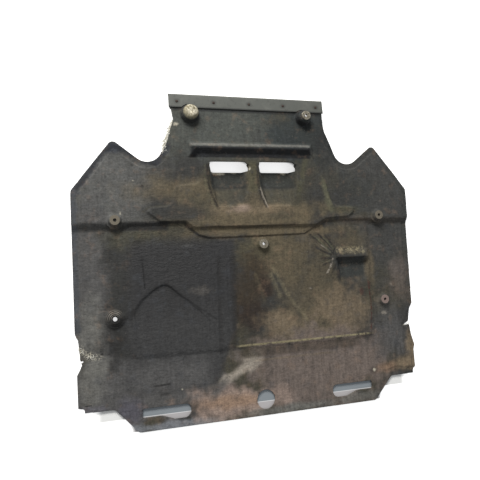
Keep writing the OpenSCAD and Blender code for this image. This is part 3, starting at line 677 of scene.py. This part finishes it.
    # Crown of the torn dome, darker flanks on both domes with painted shade on their lower side, and cream fibres at
    # the breaks
    high = g.step(g.z, 41.0, 48.0)
    crown = g.patch(-164, 379, 17, 15, 0.5, (mottle - 0.5) * 1.8, 20) * high
    colour = g.mix(colour, t["dust"], g.patch(-166, 377, 23, 22, 0.4, (speck - 0.5) * 1.6) * high * 0.75)
    colour = g.mix(colour, t["cream"], crown * g.step(speck + mottle, 0.85, 1.05) * 0.95)
    for x, r in ((-165, 26), (157, 23)):
        raised = g.step(g.z, 24.0, 30.0)
        colour = g.mix(colour, t["oilDarkAndShade"], g.patch(x, 377, r + 4, r + 4, 0.3) * raised * (1 - high) * 0.6)
        colour = g.mix(colour, t["sootAndShade"], g.patch(x, 362, r, 15, 0.6) * raised * (1 - high) * 0.6)
    tufts = g.stroke([(-463, -214), (-452, -230), (-424, -238)], 8.0, rag) * g.step(speck, 0.46, 0.6)
    colour = g.mix(colour, t["cream"], tufts * 0.6)
    # Rings pressed round the bare hole
    ringAway = g.node("ShaderNodeMapping", {"vector_type": "TEXTURE"}, {0: g.spot, 1: (-0.378, -0.149, 0), 3: (0.001, 0.001, 1000)})
    ringAway = g.node("ShaderNodeVectorMath", {"operation": "LENGTH"}, {0: ringAway}, "Value")
    rings = (ringAway * 1.5).math("SINE") * g.band(ringAway, 6.0, 22.0, 1.5)
    colour = g.mix(colour, t["clayPale"], rings * g.step(g.y - g.x * 0.4 + ragMm * 0.3, 0.0, 14.0) * 0.5)
    colour = g.mix(colour, t["black"], g.band(ringAway, 5.0, 8.5, 1.5) * 0.8)
    colour = g.mix(colour, t["oilDarkAndShade"], g.band(g.y + fineMm * 0.2 - g.x * 0.03, -316.0, -311.0, 2.0)
                   * g.band(g.x + ragMm * 0.4, -287.0, -246.0, 5.0) * 0.75)
    grit = g.step(g.cells(150.0), 0.13, 0.05) * g.step(blotch, 0.48, 0.6)
    colour = g.mix(colour, t["clayPale"], grit * 0.4 * (1 - oil * 0.6))
    warm = g.noise(34.0, 3.0, 0.6)
    colour = g.mix(colour, t["rustMud"], g.step(warm, 0.54, 0.72) * 0.16 * (1 - oil))
    colour = g.mix(colour, t["blueGrey"], g.step(0.0 - warm, -0.44, -0.30) * 0.2)
    # Fine mottling over all of it, with streaks along the front and scuffs across the field
    front = g.step(0.0 - g.y, 250.0, 275.0) * g.step(g.x, -20.0, 40.0)
    shade = 1.0 + (mottle - 0.5) * 1.25 + (speck - 0.5) * 1.1 + (grain - 0.5) * 0.7 + (weave - 0.5) * 0.5
    shade = shade + (streak - 0.5) * front * 1.1 + (scuff - 0.5) * (1 - front) * 0.7
    colour = g.node("ShaderNodeVectorMath", {"operation": "SCALE"}, {0: colour, "Scale": shade.high(0.2)})

    wrinkle = g.noise(1.0, 3.0, 0.55, 1.2, g.stretched(24, (70.0, 190.0, 60.0)))
    crinkled = g.patch(-220, 20, 150, 90, 0.6, rag) + 0.25
    leather = g.cells(120.0, "SMOOTH_F1", g.stretched(10, (0.7, 1.25, 1.0)))
    height = leather * 0.5 + mottle * 1.0 + speck * 0.5 + weave * 0.3 + wrinkle * crinkled * 1.5
    rough = 0.9 - oil * 0.16 + (mottle - 0.5) * 0.2
    return g.finish(colour, rough, height, 0.0016, bump=0.8)


makeSheet()

metals = {
    "strip": (86, 88, 83),
    "stripWearAndHighlight": (112, 113, 107),
    "stripDirtAndShade": (40, 41, 39),
    "zinc": (196, 190, 172),
    "zincDull": (120, 112, 98),
    "mudTan": (108, 101, 88),
    "pinkMud": (132, 115, 108),
    "rivet": (42, 32, 26),
    "rivetRust": (70, 48, 36),
}


def stripFinish():
    g = Graph("weatheredStrip")
    cloud = g.noise(14.0, 4.0, 0.6)
    mottle = g.noise(90.0, 5.0, 0.65)
    scratch = g.noise(1.0, 3.0, 0.6, 0.2, g.stretched(2, (25.0, 700.0, 300.0)))
    colour = g.mix(linear(*metals["strip"]), linear(*metals["stripWearAndHighlight"]), g.step(cloud, 0.5, 0.75) * 0.45)
    colour = g.mix(colour, linear(*metals["stripDirtAndShade"]), g.step(mottle, 0.52, 0.75) * 0.4)
    # Painted shade along the strip's front edge
    colour = g.mix(colour, linear(*metals["stripDirtAndShade"]), g.band(g.y, 384.0, 396.0, 2.5) * 0.85)
    # Painted highlight along the strip's rear edge
    colour = g.mix(colour, linear(*metals["stripWearAndHighlight"]), g.step(g.y, 424.0, 429.0) * 0.6)
    for x, y in rivetSpots:
        colour = g.mix(colour, linear(*metals["stripDirtAndShade"]), g.patch(x * 1000, y * 1000, 8, 7, 0.6, (mottle - 0.5) * 1.2) * 0.5)
    colour = g.mix(colour, linear(*metals["stripWearAndHighlight"]), g.step(scratch, 0.60, 0.72) * 0.25)
    return g.finish(colour, 0.62 + (mottle - 0.5) * 0.2, mottle + scratch * 0.4, 0.0005, bump=0.5)


def eyeletFinish(name, mudTone, mudShare):
    g = Graph(name)
    mottle = g.noise(260.0, 5.0, 0.65)
    fine = g.noise(900.0, 3.0, 0.6)
    bare = g.mix(linear(*metals["zincDull"]), linear(*metals["zinc"]), g.step(mottle, 0.35, 0.6))
    share = g.step(mottle + fine * 0.2, 0.72 - mudShare * 0.35, 0.80 - mudShare * 0.3)
    colour = g.mix(bare, linear(*metals[mudTone]), share)
    metal = 0.85 - share * 0.8
    return g.finish(colour, 0.42 + share * 0.4, mottle + fine * 0.5, 0.0003, metal=metal, bump=0.6)


def rivetFinish():
    g = Graph("rustedRivet")
    mottle = g.noise(500.0, 4.0, 0.6)
    colour = g.mix(linear(*metals["rivet"]), linear(*metals["rivetRust"]), g.step(mottle, 0.45, 0.65))
    return g.finish(colour, 0.75, mottle, 0.0003, bump=0.7)


def dress(node, material):
    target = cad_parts[node]
    target.data.materials.clear()
    target.data.materials.append(material)


dress("seal_strip", stripFinish())
dress("eyelet_rear_right", eyeletFinish("brightEyelet", "mudTan", 0.3))
dress("eyelet_upper_left", eyeletFinish("mudEyeletLeft", "mudTan", 0.9))
dress("eyelet_centre", eyeletFinish("paleEyelet", "mudTan", 0.5))
dress("eyelet_upper_right", eyeletFinish("mudEyeletRight", "mudTan", 0.8))
dress("eyelet_lower_right", eyeletFinish("pinkEyelet", "pinkMud", 1.0))
rivetMetal = rivetFinish()
for number in range(1, 6):
    dress(f"strip_rivet_{number}", rivetMetal)
print("stage: strip, eyelets and rivets dressed")

# Torn fibres: the line that they hang on, how many, their length and thickness in metres, and their lean in degrees
fringes = {
    "neckFringe": {"line": [(-0.2120, 0.356, 0.0205), (-0.2185, 0.332, 0.0225), (-0.2290, 0.306, 0.0245), (-0.2400, 0.278, 0.0265)],
                   "count": 260, "length": (0.008, 0.026), "thick": 0.0009, "lean": (-112, 24), "spread": 0.0055},
    "leftTuft": {"line": [(-0.4620, -0.214, 0.0040), (-0.4520, -0.229, 0.0040), (-0.4270, -0.238, 0.0040)],
                 "count": 60, "length": (0.004, 0.010), "thick": 0.0005, "lean": (170, 60), "spread": 0.0050},
    "rightTuft": {"line": [(0.4400, -0.2285, 0.0035), (0.4600, -0.2245, 0.0035)],
                  "count": 22, "length": (0.004, 0.009), "thick": 0.0004, "lean": (-20, 50), "spread": 0.0020},
}

# Lumps of dried mud that clog the torn crown
clog = {"middle": (-0.1655, 0.3765, 0.0500), "count": 34, "reach": 0.0125, "size": (0.0012, 0.0034)}


def emptyPiece(name):
    deselectAll()
    bpy.ops.mesh.primitive_plane_add(size=0.001)
    piece = bpy.context.object
    piece.name = name
    bpy.ops.object.mode_set(mode="EDIT")
    bpy.ops.mesh.select_all(action="SELECT")
    bpy.ops.mesh.delete(type="VERT")
    return piece


def closePiece(piece, material):
    bpy.ops.object.mode_set(mode="OBJECT")
    bpy.ops.object.shade_smooth_by_angle(angle=math.radians(60))
    piece.data.materials.append(material)
    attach(piece, "root")
    print("stage:", piece.name, "made,", len(piece.data.polygons), "faces")


def fibreFinish():
    g = Graph("paleFibre")
    mottle = g.noise(240.0, 3.0, 0.6)
    colour = g.mix(linear(224, 222, 212), linear(150, 142, 122), g.step(mottle, 0.45, 0.7))
    return g.finish(colour, 0.9, mottle, 0.0003, bump=0.4)


def mudFinish():
    g = Graph("driedMud")
    mottle = g.noise(300.0, 4.0, 0.6)
    colour = g.mix(linear(206, 198, 172), linear(120, 106, 78), g.step(mottle, 0.42, 0.62))
    return g.finish(colour, 0.8, mottle, 0.0005, bump=0.6)


def addFringe(name, plan, material):
    dice = random.Random(name)
    piece = emptyPiece(name)
    reach = len(plan["line"]) - 1
    for _ in range(plan["count"]):
        place = dice.random() * reach
        part = int(place)
        start, end = Vector(plan["line"][part]), Vector(plan["line"][part + 1])
        spot = start.lerp(end, place - part)
        long = dice.uniform(*plan["length"])
        heading = math.radians(dice.gauss(*plan["lean"]))
        tilt = math.radians(dice.uniform(78, 96))
        side = Vector((dice.uniform(-1, 1), dice.uniform(-1, 1), dice.uniform(-0.2, 0.3))) * plan["spread"]
        middle = spot + side + Vector((math.cos(heading), math.sin(heading), 0)) * (long * 0.4)
        bpy.ops.mesh.select_all(action="DESELECT")
        bpy.ops.mesh.primitive_cone_add(vertices=5, radius1=plan["thick"], radius2=plan["thick"] * 0.3, depth=long,
                                        location=middle, rotation=(0, tilt, heading))
    closePiece(piece, material)


def addClog(material):
    dice = random.Random("clog")
    piece = emptyPiece("crownMud")
    centre = Vector(clog["middle"])
    for _ in range(clog["count"]):
        away = clog["reach"] * math.sqrt(dice.random())
        turn = dice.uniform(0, math.tau)
        spot = centre + Vector((math.cos(turn) * away, math.sin(turn) * away, -away * away * 26))
        bpy.ops.mesh.select_all(action="DESELECT")
        bpy.ops.mesh.primitive_ico_sphere_add(subdivisions=2, radius=dice.uniform(*clog["size"]), location=spot,
                                              scale=(1.3, 1.0, 0.7), rotation=(0, 0, turn))
    closePiece(piece, material)


fibre = fibreFinish()
for name, plan in fringes.items():
    addFringe(name, plan, fibre)
addClog(mudFinish())
